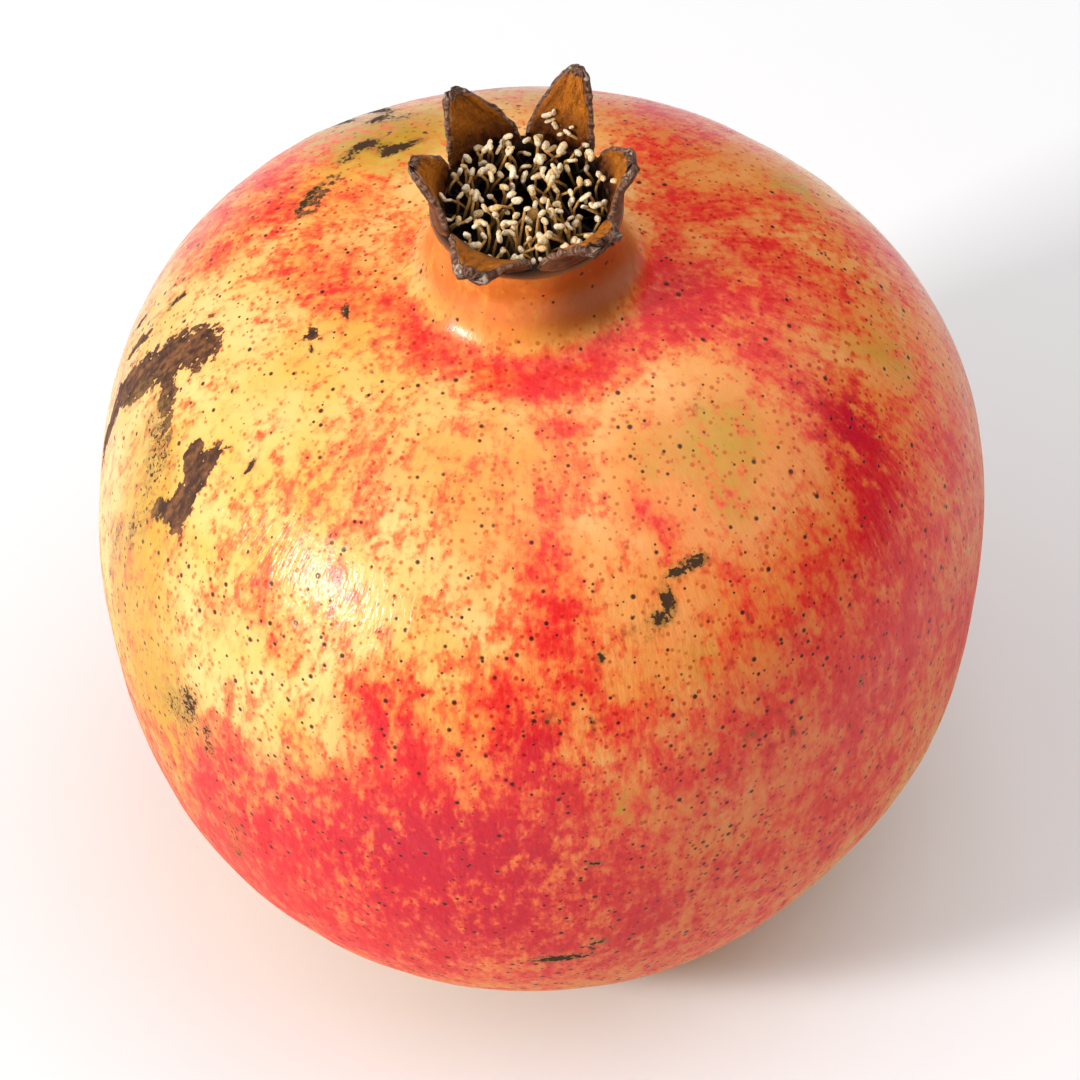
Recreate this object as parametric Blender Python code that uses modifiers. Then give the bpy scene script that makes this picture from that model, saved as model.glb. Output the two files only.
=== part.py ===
"""A whole pomegranate, resting on the flat spot round its stem end with its crown up.

The rind is one grown piece: the swollen body, the short neck and the open cup of the crown.
Six dried sepals stand on the cup's rim, stamens spring from its inner wall in three rows round
the style, and the cut stem sits in a shallow pit under the fruit. Metres, +Z up; the camera side
is -Y. Radii and heights of the rind are measured in the fruit's own frame, from the middle of
its widest section, along its own axis, which leans a little.
"""

import math
import random

import bpy
import numpy as np
from mathutils import Matrix, Vector

# The body: its widest radius, and how far it reaches above and below that widest section.
# A squareness of 2 gives an ellipse, and more gives fuller shoulders.
BODY_RADIUS = 0.0460
SHOULDER_RISE = 0.0383
SHOULDER_SQUARENESS = 2.4
BASE_DEPTH = 0.0462
BASE_SQUARENESS = 2.5

# The body isn't quite round: it swells towards three sides and, less, along six faint ribs.
THREE_SIDED_SWELL = 0.018
THREE_SIDED_TURN = math.radians(12)
RIB_SWELL = 0.004
RIB_TURN = math.radians(20)

# How the fruit stands: a slight lean to the left and to the front, its base flattened a little.
LEAN_FORWARD = 0.030
LEAN_LEFT = 0.018
FLATTENED_BY = 0.0006
AXIS_X = -0.0007
AXIS_Y = 0.0004

# The neck and the cup of the crown.
NECK_FOOT_RADIUS = 0.0134
NECK_WAIST_RADIUS = 0.0094
NECK_WAIST_RISE = 0.0058
NECK_FLARE = 0.0024
RIM_RADIUS = 0.0096
RIM_RISE = 0.0092
CUP_WALL = 0.0016
CUP_DEPTH = 0.0105
CUP_FLOOR_CORNER = 0.0025

# The stem end: a shallow pit with the cut stem standing in it, clear of the floor.
PIT_RADIUS = 0.0040
PIT_DEPTH = 0.0036
PIT_LIP = 0.0012
PIT_CORNER = 0.0004
PIT_ROOF_INSET = 0.0012
STEM_RADIUS = 0.0031
STEM_LENGTH = 0.0024
STEM_CHAMFER = 0.0003

# Touching pieces keep this much clear of each other.
GAP = 0.0003

# The sepals stand between six notches of the rim. Each one's tip is given by its bearing, its
# distance from the axis and its height over the rim, with how far its middle bulges outwards.
# Its knee is a share of the tip's height. Its width falls off as (1 - along^bend)^fall.
SEPAL_THICKNESS = 0.0011
SEPAL_TIP_SHARE = 0.10
SEPAL_SIDE_GAP = 0.00036
SEPAL_KNEE_SHARE = 0.45
SEPAL_TAPER_BEND = 1.85
SEPAL_TAPER_FALL = 0.85
NOTCH_BEARINGS = [math.radians(b) for b in (-26, 40.7, 92, 149, 211, 275)]
SEPAL_TIPS = [
    # bearing, radius, height, bulge
    (math.radians(0), 0.0104, 0.0057, 0.0007),
    (math.radians(59), 0.0103, 0.0102, 0.0004),
    (math.radians(133), 0.0106, 0.0079, 0.0004),
    (math.radians(179), 0.0112, 0.0056, 0.0002),
    (math.radians(245), 0.0132, 0.0031, -0.0004),
    (math.radians(314), 0.0114, 0.0033, 0.0000),
]

# The stamens stand in three rows. Each row has its number of stamens, the depth of their roots
# under the rim, and the radius and height at which their anthers end. A filament's elbow is a
# little outside its tip and a little over its root.
FILAMENT_RADIUS = 0.00022
ELBOW_OUT = 0.0001
ELBOW_UP = 0.0004
ANTHER_LENGTH = 0.0013
ANTHER_SHAPE = [(0.25, 2.3), (0.75, 2.3), (1.0, 0.8)]  # share of its length, swell over the filament
STAMEN_ROWS = [
    # name, count, root depth, tip radius, tip height
    ("outer", 18, 0.0030, 0.0062, 0.0006),
    ("middle", 13, 0.0056, 0.0042, 0.0008),
    ("inner", 7, 0.0080, 0.0022, 0.0006),
]
STAMEN_SCATTER = 0.00022
SCATTER_SEED = 11

# The style: its elbow and its tip over its foot, and how its head swells and ends.
STYLE_RADIUS = 0.00045
STYLE_ELBOW = (-0.0003, 0.0, 0.0050)
STYLE_TIP = (0.0008, 0.0002, 0.0088)
STYLE_HEAD_SWELL = 1.8
STYLE_END = 0.9

# Mesh fineness.
BODY_SIDES = 60
SHOULDER_RINGS = 15
BASE_RINGS = 18
NECK_RINGS = 7
CORNER_POINTS = 4
STEM_SIDES = 20
SEPAL_ACROSS = 7
SEPAL_ALONG = 9
FILAMENT_POINTS = 6
MERGE_DISTANCE = 0.00001
SHARP_ANGLE = math.radians(50)

RIM_TOP = SHOULDER_RISE + RIM_RISE
CUP_FLOOR = RIM_TOP - CUP_DEPTH
CUP_RADIUS = RIM_RADIUS - CUP_WALL


def clear_scene():
    for leftover in list(bpy.data.objects):
        bpy.data.objects.remove(leftover)


def new_collection(name):
    collection = bpy.data.collections.new(name)
    bpy.context.scene.collection.children.link(collection)
    return collection


def material(name, colour, roughness):
    made = bpy.data.materials.new(name)
    made.use_nodes = True
    shader = made.node_tree.nodes["Principled BSDF"]
    shader.inputs["Base Color"].default_value = (*colour, 1.0)
    shader.inputs["Roughness"].default_value = roughness
    shader.inputs["Metallic"].default_value = 0.0
    return made


def add_part(name, data, collection, parent, finish):
    """An object for one piece, placed in the fruit's own frame."""
    part = bpy.data.objects.new(name, data)
    collection.objects.link(part)
    part.parent = parent
    part.data.materials.append(finish)
    return part


def arc(centre, radius, start, end, points):
    """Points of a circular arc in the profile's plane, from start to end, angles in degrees."""
    angles = np.radians(np.linspace(start, end, points))
    return [(centre[0] + radius * math.cos(a), centre[1] + radius * math.sin(a)) for a in angles]


def bezier(corners, points):
    """Points on the Bezier curve of three or four corner points, first and last included."""
    curve = []
    for t in np.linspace(0, 1, points):
        level = [Vector(c) for c in corners]
        while len(level) > 1:
            level = [a.lerp(b, t) for a, b in zip(level, level[1:])]
        curve.append(level[0])
    return curve


def shoulder_height(radius):
    """Height of the body's upper surface at a distance from the axis."""
    share = (radius / BODY_RADIUS) ** SHOULDER_SQUARENESS
    return SHOULDER_RISE * (1 - share) ** (1 / SHOULDER_SQUARENESS)


def body_outline():
    """The body from the neck's foot down to the rim of the stem pit."""
    outline = []
    top_angle = math.asin((NECK_FOOT_RADIUS / BODY_RADIUS) ** (SHOULDER_SQUARENESS / 2))
    for angle in np.linspace(top_angle, math.pi / 2, SHOULDER_RINGS):
        radius = BODY_RADIUS * math.sin(angle) ** (2 / SHOULDER_SQUARENESS)
        outline.append((radius, shoulder_height(min(radius, BODY_RADIUS))))
    pit_edge = PIT_RADIUS + PIT_LIP
    foot_angle = math.asin((pit_edge / BODY_RADIUS) ** (BASE_SQUARENESS / 2))
    for angle in np.linspace(math.pi / 2, foot_angle, BASE_RINGS)[1:]:
        radius = BODY_RADIUS * math.sin(angle) ** (2 / BASE_SQUARENESS)
        depth = BASE_DEPTH * math.cos(angle) ** (2 / BASE_SQUARENESS)
        outline.append((radius, -depth))
    return outline


def rind_profile():
    """The rind's section, from the middle of the cup's floor over the rim to the stem pit."""
    lip = CUP_WALL / 2
    foot_height = shoulder_height(NECK_FOOT_RADIUS)
    foot_slope = (shoulder_height(NECK_FOOT_RADIUS - GAP) - foot_height) / GAP
    cup_wall_foot = (CUP_RADIUS - CUP_FLOOR_CORNER, CUP_FLOOR + CUP_FLOOR_CORNER)
    profile = [(0.0, CUP_FLOOR)]
    profile += arc(cup_wall_foot, CUP_FLOOR_CORNER, -90, 0, CORNER_POINTS)
    profile += arc((RIM_RADIUS - lip, RIM_TOP - lip), lip, 180, 0, CORNER_POINTS + 1)
    neck = bezier(
        [
            (NECK_WAIST_RADIUS, SHOULDER_RISE + NECK_WAIST_RISE),
            (NECK_WAIST_RADIUS, SHOULDER_RISE + NECK_WAIST_RISE - NECK_FLARE),
            (NECK_FOOT_RADIUS - NECK_FLARE, foot_height + NECK_FLARE * foot_slope),
            (NECK_FOOT_RADIUS, foot_height),
        ],
        NECK_RINGS,
    )
    profile += [tuple(point) for point in neck[:-1]]
    profile += body_outline()
    pit_roof = -BASE_DEPTH + PIT_DEPTH
    profile += [
        (PIT_RADIUS, -BASE_DEPTH + PIT_LIP),
        (PIT_RADIUS - PIT_CORNER, pit_roof - PIT_CORNER),
        (PIT_RADIUS - PIT_ROOF_INSET, pit_roof),
        (0.0, pit_roof),
    ]
    return profile


def swollen(point):
    """A point of the round rind, moved out or in to give the body its three sides and its ribs."""
    bearing = math.atan2(point.y, point.x)
    reach = math.hypot(point.x, point.y)
    fullness = min(1.0, reach / BODY_RADIUS) ** 2
    swell = THREE_SIDED_SWELL * math.cos(3 * (bearing - THREE_SIDED_TURN))
    swell += RIB_SWELL * math.cos(6 * (bearing - RIB_TURN))
    grown = 1 + swell * fullness
    return Vector((point.x * grown, point.y * grown, point.z))


def to_mesh_object(source, name, collection, parent, finish):
    """A mesh copy of an object as its modifiers leave it; the source is removed."""
    graph = bpy.context.evaluated_depsgraph_get()
    mesh = bpy.data.meshes.new_from_object(source.evaluated_get(graph))
    bpy.data.objects.remove(source)
    mesh.materials.clear()
    mesh.name = name
    return add_part(name, mesh, collection, parent, finish)


def build_rind(collection, cutters, parent, finish):
    """The turned rind, swollen off round, then cut flat where it rests on the floor."""
    profile = rind_profile()
    mesh = bpy.data.meshes.new("rind_profile")
    edges = [(i, i + 1) for i in range(len(profile) - 1)]
    mesh.from_pydata([(r, 0.0, z) for r, z in profile], edges, [])
    turned = bpy.data.objects.new("rind_profile", mesh)
    collection.objects.link(turned)
    screw = turned.modifiers.new("turn", "SCREW")
    screw.steps = screw.render_steps = BODY_SIDES
    screw.use_merge_vertices = True
    screw.merge_threshold = MERGE_DISTANCE
    bpy.context.view_layer.update()

    rind = to_mesh_object(turned, "rind", collection, parent, finish)
    for vertex in rind.data.vertices:
        vertex.co = swollen(vertex.co)
    rind.data.shade_smooth()
    rind.data.set_sharp_from_angle(angle=SHARP_ANGLE)

    bpy.ops.mesh.primitive_cube_add(size=4 * BODY_RADIUS, location=(0, 0, -2 * BODY_RADIUS))
    floor_cutter = bpy.context.active_object
    floor_cutter.name = "floor_cutter"
    floor_cutter.display_type = "WIRE"
    floor_cutter.hide_render = True
    for holder in list(floor_cutter.users_collection):
        holder.objects.unlink(floor_cutter)
    cutters.objects.link(floor_cutter)
    flatten = rind.modifiers.new("flatten_base", "BOOLEAN")
    flatten.operation = "DIFFERENCE"
    flatten.object = floor_cutter


def build_stem(collection, parent, finish):
    """The woody stem, cut short in its pit."""
    top = -BASE_DEPTH + PIT_DEPTH - GAP
    bpy.ops.mesh.primitive_cylinder_add(vertices=STEM_SIDES, radius=STEM_RADIUS, depth=STEM_LENGTH)
    stem = bpy.context.active_object
    stem.name = "stem"
    stem.data.name = "stem"
    for holder in list(stem.users_collection):
        holder.objects.unlink(stem)
    collection.objects.link(stem)
    stem.parent = parent
    stem.location = (0, 0, top - STEM_LENGTH / 2)
    stem.data.materials.append(finish)
    bevel = stem.modifiers.new("worn_edges", "BEVEL")
    bevel.width = STEM_CHAMFER
    bevel.segments = 1


def sepal_half_width(along, widest):
    """Half the sepal's width at a share of its length: straight-sided, closing to a blunt tip."""
    taper = (1 - along**SEPAL_TAPER_BEND) ** SEPAL_TAPER_FALL
    return widest * (SEPAL_TIP_SHARE + (1 - SEPAL_TIP_SHARE) * taper)


def polar(bearing, radius, height):
    return Vector((radius * math.cos(bearing), radius * math.sin(bearing), height))


def build_sepal(number, collection, parent, finish):
    """A dished blade: its foot follows the rim between two notches, and its middle line bends
    from there to the tip. Across, the blade keeps the curve of the rim."""
    notch = NOTCH_BEARINGS[number]
    next_notch = (NOTCH_BEARINGS + [NOTCH_BEARINGS[0] + math.tau])[number + 1]
    foot_radius = RIM_RADIUS - CUP_WALL / 2
    foot_height = RIM_TOP + GAP
    middle = (notch + next_notch) / 2
    half_angle = (next_notch - notch) / 2 - SEPAL_SIDE_GAP / foot_radius
    tip_bearing, tip_radius, tip_height, bulge = SEPAL_TIPS[number]

    foot = polar(middle, foot_radius, foot_height)
    tip = polar(tip_bearing, tip_radius, RIM_TOP + tip_height)
    knee_bearing = (2 * middle + tip_bearing) / 3
    knee = polar(knee_bearing, foot_radius + bulge, foot_height + SEPAL_KNEE_SHARE * tip_height)

    bpy.ops.mesh.primitive_grid_add(
        x_subdivisions=SEPAL_ACROSS, y_subdivisions=SEPAL_ALONG, size=2
    )
    sepal = bpy.context.active_object
    for vertex in sepal.data.vertices:
        across = vertex.co.x
        along = (vertex.co.y + 1) / 2
        on_middle = (1 - along) ** 2 * foot + 2 * along * (1 - along) * knee + along**2 * tip
        heading = (2 * (1 - along) * (knee - foot) + 2 * along * (tip - knee)).normalized()
        bearing = middle + along * (tip_bearing - middle)
        sideways = Vector((-math.sin(bearing), math.cos(bearing), 0))
        outwards = sideways.cross(heading).normalized()
        offset = sepal_half_width(along, foot_radius * math.sin(half_angle)) * across
        dish = foot_radius - math.sqrt(foot_radius**2 - offset**2)
        vertex.co = on_middle + sideways * offset - outwards * dish
    sepal.name = f"sepal_{number + 1}"
    sepal.data.name = sepal.name
    for holder in list(sepal.users_collection):
        holder.objects.unlink(sepal)
    collection.objects.link(sepal)
    sepal.parent = parent
    sepal.data.materials.append(finish)
    sepal.data.shade_smooth()
    thicken = sepal.modifiers.new("thickness", "SOLIDIFY")
    thicken.thickness = SEPAL_THICKNESS
    thicken.offset = 0.0


def tube(name, path, radii, thickness, collection, parent, finish):
    """A tapering solid rod along a path: radii are shares of its thickness at each point."""
    curve = bpy.data.curves.new(name, "CURVE")
    curve.dimensions = "3D"
    curve.bevel_depth = thickness
    curve.bevel_resolution = 1
    curve.use_fill_caps = True
    spline = curve.splines.new("POLY")
    spline.points.add(len(path) - 1)
    for point, place, radius in zip(spline.points, path, radii):
        point.co = (*place, 1.0)
        point.radius = radius
    add_part(name, curve, collection, parent, finish)


def build_stamens(collection, parent, finish):
    """Each stamen leaves the cup's wall, bends inwards and up, and ends in a swollen anther."""
    scatter = random.Random(SCATTER_SEED)
    root_radius = CUP_RADIUS - GAP - FILAMENT_RADIUS
    for row, count, root_depth, tip_radius, tip_height in STAMEN_ROWS:
        for number in range(count):
            bearing = math.tau * (number + 0.5) / count
            tip_bearing = bearing + scatter.uniform(-1, 1) * STAMEN_SCATTER / tip_radius
            tip_radius_here = tip_radius + scatter.uniform(-1, 1) * STAMEN_SCATTER
            tip_height_here = tip_height + scatter.uniform(-1, 1) * STAMEN_SCATTER
            root = polar(bearing, root_radius, RIM_TOP - root_depth)
            elbow = polar(bearing, tip_radius + ELBOW_OUT, RIM_TOP - root_depth + ELBOW_UP)
            tip = polar(tip_bearing, tip_radius_here, RIM_TOP + tip_height_here)
            filament = bezier([root, elbow, tip], FILAMENT_POINTS)
            upwards = (filament[-1] - filament[-2]).normalized()
            anther = [tip + upwards * ANTHER_LENGTH * share for share, _ in ANTHER_SHAPE]
            radii = [1.0] * FILAMENT_POINTS + [swell for _, swell in ANTHER_SHAPE]
            name = f"stamen_{row}_{number + 1:02d}"
            tube(name, filament + anther, radii, FILAMENT_RADIUS, collection, parent, finish)


def build_style(collection, parent, finish):
    """The dried style, standing in the middle of the cup with its head bent over."""
    foot = Vector((0, 0, CUP_FLOOR + GAP + STYLE_RADIUS))
    corners = [foot, foot + Vector(STYLE_ELBOW), foot + Vector(STYLE_TIP)]
    path = bezier(corners, FILAMENT_POINTS + 1)
    radii = [1.0] * (FILAMENT_POINTS - 1) + [STYLE_HEAD_SWELL, STYLE_END]
    tube("style", path, radii, STYLE_RADIUS, collection, parent, finish)


def main():
    clear_scene()
    pomegranate = new_collection("pomegranate")
    cutters = new_collection("cutters")
    rind_finish = material("rind", (0.80, 0.33, 0.10), 0.35)
    sepal_finish = material("sepal", (0.20, 0.085, 0.03), 0.55)
    stamen_finish = material("stamen", (0.72, 0.55, 0.30), 0.7)
    stem_finish = material("stem", (0.25, 0.16, 0.09), 0.85)

    fruit_axis = bpy.data.objects.new("fruit_axis", None)
    pomegranate.objects.link(fruit_axis)
    stands_at = Vector((AXIS_X, AXIS_Y, BASE_DEPTH - FLATTENED_BY))
    lean = Matrix.Rotation(LEAN_FORWARD, 4, "X") @ Matrix.Rotation(-LEAN_LEFT, 4, "Y")
    fruit_axis.matrix_world = Matrix.Translation(stands_at) @ lean

    build_rind(pomegranate, cutters, fruit_axis, rind_finish)
    build_stem(pomegranate, fruit_axis, stem_finish)
    for number in range(len(SEPAL_TIPS)):
        build_sepal(number, pomegranate, fruit_axis, sepal_finish)
    build_stamens(pomegranate, fruit_axis, stamen_finish)
    build_style(pomegranate, fruit_axis, stamen_finish)


main()
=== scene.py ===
"""A whole ripe pomegranate standing on its base, with its crown up: the looks of every piece.

The sections follow the fruit as it grows: the rind with its skin marks, the cut stem underneath,
the dried sepals of the crown, the stamens and the style inside it, then the light round it.
Everything is in metres, +Z up, with the side that the photograph shows towards -Y. Bearings are
degrees round the fruit's axis: 0 is to the right, 90 away from the camera and 270 towards it.
"""

import math

import bpy
import numpy as np
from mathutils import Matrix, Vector


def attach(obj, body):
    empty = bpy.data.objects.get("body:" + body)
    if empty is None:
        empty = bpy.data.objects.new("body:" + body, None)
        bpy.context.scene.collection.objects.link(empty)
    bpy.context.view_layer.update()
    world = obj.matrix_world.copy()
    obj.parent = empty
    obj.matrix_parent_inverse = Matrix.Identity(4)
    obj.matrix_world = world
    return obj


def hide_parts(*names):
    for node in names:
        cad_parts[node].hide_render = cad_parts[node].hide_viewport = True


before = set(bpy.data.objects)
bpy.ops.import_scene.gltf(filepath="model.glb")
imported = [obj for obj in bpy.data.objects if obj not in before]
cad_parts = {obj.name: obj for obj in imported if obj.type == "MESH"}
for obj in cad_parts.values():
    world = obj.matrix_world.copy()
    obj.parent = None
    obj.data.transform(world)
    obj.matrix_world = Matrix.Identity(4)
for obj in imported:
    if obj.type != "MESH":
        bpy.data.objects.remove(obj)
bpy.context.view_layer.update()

# The rind: one grown piece, from the cup of the crown over the neck and the swollen body to the
# pit round the stem. It is leathery and waxy, and turned round an axis that leans a little, so it
# is worked out as a section carried round that axis, then swollen off round and weathered.
BODY_RADIUS = 0.0460
SHOULDER_RISE = 0.0383
SHOULDER_SQUARENESS = 2.4
BASE_DEPTH = 0.0462
BASE_SQUARENESS = 2.5
THREE_SIDED_SWELL = 0.018
THREE_SIDED_TURN = math.radians(12)
RIB_SWELL = 0.004
RIB_TURN = math.radians(20)
LEAN_FORWARD = 0.030
LEAN_LEFT = 0.018
FLATTENED_BY = 0.0006
AXIS_X = -0.0007
AXIS_Y = 0.0004
NECK_FOOT_RADIUS = 0.0134
NECK_WAIST_RADIUS = 0.0094
NECK_WAIST_RISE = 0.0058
NECK_FLARE = 0.0024
RIM_RADIUS = 0.0096
RIM_TOP = SHOULDER_RISE + 0.0092
CUP_WALL = 0.0016
CUP_RADIUS = RIM_RADIUS - CUP_WALL
CUP_FLOOR = RIM_TOP - 0.0105
CUP_FLOOR_CORNER = 0.0025
PIT_RADIUS = 0.0040
PIT_DEPTH = 0.0036
PIT_LIP = 0.0012
RIND_SIDES = 320
BODY_STEP = 0.00066
NECK_STEP = 0.00028


def stand(points):
    """Points of the fruit's own frame, whose origin is the middle of its widest section, leant
    and set down where the fruit stands: turned about Y, then about X, then moved."""
    x, y, z = np.moveaxis(np.asarray(points, float), -1, 0)
    left, forward = -LEAN_LEFT, LEAN_FORWARD
    x, z = x * math.cos(left) + z * math.sin(left), z * math.cos(left) - x * math.sin(left)
    y, z = y * math.cos(forward) - z * math.sin(forward), y * math.sin(forward) + z * math.cos(forward)
    return np.stack([x + AXIS_X, y + AXIS_Y, z + BASE_DEPTH - FLATTENED_BY], axis=-1)


def arc(centre, radius, start, end, count=24):
    """A circular arc in the section's plane, from one angle in degrees to another."""
    angle = np.radians(np.linspace(start, end, count))
    return np.column_stack([centre[0] + radius * np.cos(angle), centre[1] + radius * np.sin(angle)])


def bezier(corners, t):
    """Points at shares t of a Bezier curve: the corners are drawn together pair by pair."""
    level = [np.asarray(c, float) for c in corners]
    t = np.asarray(t, float)[..., None]
    while len(level) > 1:
        level = [a * (1 - t) + b * t for a, b in zip(level, level[1:])]
    return level[0]


def evenly(line, step):
    """Points along a line of points, at even steps of about the length asked for."""
    travelled = np.concatenate([[0], np.cumsum(np.linalg.norm(np.diff(line, axis=0), axis=1))])
    stops = np.linspace(0, travelled[-1], round(travelled[-1] / step) + 1)
    return np.column_stack([np.interp(stops, travelled, column) for column in line.T])


def waves(points, length, seed, count=14):
    """A soft random field from about -1 to 1: the mean of sine waves of about one length, each
    with its own direction, length and start."""
    chance = np.random.default_rng(seed)
    heading = chance.normal(size=(count, 3))
    heading /= np.linalg.norm(heading, axis=1, keepdims=True)
    pace = math.tau / (length * chance.uniform(0.7, 1.4, count))
    start = chance.uniform(0, math.tau, count)
    phase = np.asarray(points) @ (heading * pace[:, None]).T + start
    return np.sin(phase).sum(axis=-1) / math.sqrt(count)


def smooth_step(value, low, high):
    """0 below low, 1 above high, and an S-shaped climb between them."""
    share = np.clip((value - low) / (high - low), 0, 1)
    return share * share * (3 - 2 * share)


def make_piece(name, rings, ends, fields, finish):
    """A mesh from rings of points, each joined to the next and round on itself. A point in ends
    closes the first or the last ring with a fan, and each field is kept as an attribute."""
    ring_count, side_count = rings.shape[:2]
    ring, side = np.meshgrid(np.arange(ring_count - 1), np.arange(side_count), indexing="ij")
    following = (side + 1) % side_count
    quads = np.stack(
        [
            ring * side_count + side,
            (ring + 1) * side_count + side,
            (ring + 1) * side_count + following,
            ring * side_count + following,
        ],
        axis=-1,
    ).reshape(-1, 4)
    sides = np.arange(side_count)
    turned = (sides + 1) % side_count
    first = ring_count * side_count
    last_ring = first - side_count
    fans = [np.stack([np.full_like(sides, first), sides, turned], axis=-1)]
    fans += [np.stack([np.full_like(sides, first + 1), last_ring + turned, last_ring + sides], axis=-1)]
    points = np.concatenate([rings.reshape(-1, 3), np.asarray(ends, float)])
    mesh = bpy.data.meshes.new(name)
    mesh.from_pydata(points.tolist(), [], quads.tolist() + np.concatenate(fans).tolist())
    for label, values in fields.items():
        kind, key = ("FLOAT_VECTOR", "vector") if values.ndim == 3 else ("FLOAT", "value")
        flat = values.reshape(ring_count * side_count, -1)
        flat = np.concatenate([flat, flat[[0]], flat[[-1]]]).astype(np.float32)
        mesh.attributes.new(label, kind, "POINT").data.foreach_set(key, flat.ravel())
    mesh.shade_smooth()
    mesh.materials.append(finish)
    piece = bpy.data.objects.new(name, mesh)
    bpy.context.scene.collection.objects.link(piece)
    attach(piece, "root")
    return piece


def shoulder_height(radius):
    """Height of the body's upper surface at a distance from the axis."""
    return SHOULDER_RISE * (1 - (radius / BODY_RADIUS) ** SHOULDER_SQUARENESS) ** (1 / SHOULDER_SQUARENESS)


def rind_section():
    """The section from the cup's floor over the rim to the pit's roof, as radius and height, with
    the place where the neck's foot meets the body."""
    lip = CUP_WALL / 2
    corner = (CUP_RADIUS - CUP_FLOOR_CORNER, CUP_FLOOR + CUP_FLOOR_CORNER)
    cup = np.concatenate(
        [
            [(0.0003, CUP_FLOOR)],
            arc(corner, CUP_FLOOR_CORNER, -90, 0),
            arc((RIM_RADIUS - lip, RIM_TOP - lip), lip, 180, 0),
        ]
    )
    foot = np.array([NECK_FOOT_RADIUS, shoulder_height(NECK_FOOT_RADIUS)])
    up_slope = np.array([-1.0, (shoulder_height(NECK_FOOT_RADIUS - 0.0003) - foot[1]) / 0.0003])
    waist = np.array([NECK_WAIST_RADIUS, SHOULDER_RISE + NECK_WAIST_RISE])
    bend = [waist, waist - (0, NECK_FLARE), foot + up_slope * NECK_FLARE, foot]
    neck = bezier(bend, np.linspace(0, 1, 60))

    angle = np.linspace(math.asin((NECK_FOOT_RADIUS / BODY_RADIUS) ** (SHOULDER_SQUARENESS / 2)), math.pi / 2, 400)
    radius = BODY_RADIUS * np.sin(angle) ** (2 / SHOULDER_SQUARENESS)
    shoulder = np.column_stack([radius, shoulder_height(np.minimum(radius, BODY_RADIUS))])
    pit_edge = PIT_RADIUS + PIT_LIP
    angle = np.linspace(math.pi / 2, math.asin((pit_edge / BODY_RADIUS) ** (BASE_SQUARENESS / 2)), 400)
    belly = np.column_stack(
        [
            BODY_RADIUS * np.sin(angle) ** (2 / BASE_SQUARENESS),
            -BASE_DEPTH * np.cos(angle) ** (2 / BASE_SQUARENESS),
        ]
    )
    pit_roof = PIT_DEPTH - BASE_DEPTH
    pit = [
        (PIT_RADIUS, PIT_LIP - BASE_DEPTH),
        (PIT_RADIUS - 0.0004, pit_roof - 0.0004),
        (PIT_RADIUS - 0.0012, pit_roof),
        (0.0003, pit_roof),
    ]
    above = evenly(np.concatenate([cup, neck]), NECK_STEP)
    below = evenly(np.concatenate([shoulder, belly, pit]), BODY_STEP)
    return np.concatenate([above, below[1:]]), len(above) - 1


section, foot_ring = rind_section()
stretch = np.linalg.norm(np.diff(section, axis=0), axis=1)
down = np.concatenate([[0], np.cumsum(stretch)])
down = (down - down[foot_ring])[:, None]
bearing = np.linspace(0, math.tau, RIND_SIDES, endpoint=False)[None, :]
radius = section[:, :1]
height = section[:, 1:]

fullness = np.minimum(1, radius / BODY_RADIUS) ** 2
swell = THREE_SIDED_SWELL * np.cos(3 * (bearing - THREE_SIDED_TURN)) + RIB_SWELL * np.cos(6 * (bearing - RIB_TURN))
round_radius = radius * (1 + swell * fullness)
skin = np.stack(
    [round_radius * np.cos(bearing), round_radius * np.sin(bearing), height + 0 * bearing], axis=-1
)

# The skin isn't perfectly smooth: it dents softly, more on the body than in the cup.
tangent = np.gradient(section, axis=0)
tangent /= np.linalg.norm(tangent, axis=1, keepdims=True)
outward = np.stack(
    [-tangent[:, 1:] * np.cos(bearing), -tangent[:, 1:] * np.sin(bearing), tangent[:, :1] + 0 * bearing], axis=-1
)
on_body = smooth_step(down, -0.004, 0.006) * smooth_step(section[:, :1], 0.006, 0.012)
dents = 0.00016 * waves(skin, 0.034, 3) + 0.00006 * waves(skin, 0.013, 4) + 0.00002 * waves(skin, 0.005, 5)
skin = skin + outward * (dents * on_body)[..., None]

# Marks on the skin are patches. Each is given by its bearing in degrees, its distance down the
# skin from the neck's foot in millimetres, half its length down the skin and half its width
# across in millimetres, the turn of its long side in degrees, and how strong it is.
MM = 0.001


def patches(marks, hardness=2.0):
    """How far each place of the skin lies in the marks, from 0 to 1: each mark is a rounded hump
    over an ellipse, and overlapping marks add up towards 1."""
    clear = np.ones(skin.shape[:2])
    for at_bearing, at_down, half_length, half_width, turn, strength in marks:
        across = (np.remainder(bearing - math.radians(at_bearing) + math.pi, math.tau) - math.pi) * radius
        along = down - at_down * MM
        turned = math.radians(turn)
        long_way = along * math.cos(turned) + across * math.sin(turned)
        wide_way = across * math.cos(turned) - along * math.sin(turned)
        reach = (long_way / (half_length * MM)) ** 2 + (wide_way / (half_width * MM)) ** 2
        clear *= 1 - strength * np.exp(-(reach**hardness) * 0.7)
    return 1 - clear


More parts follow.
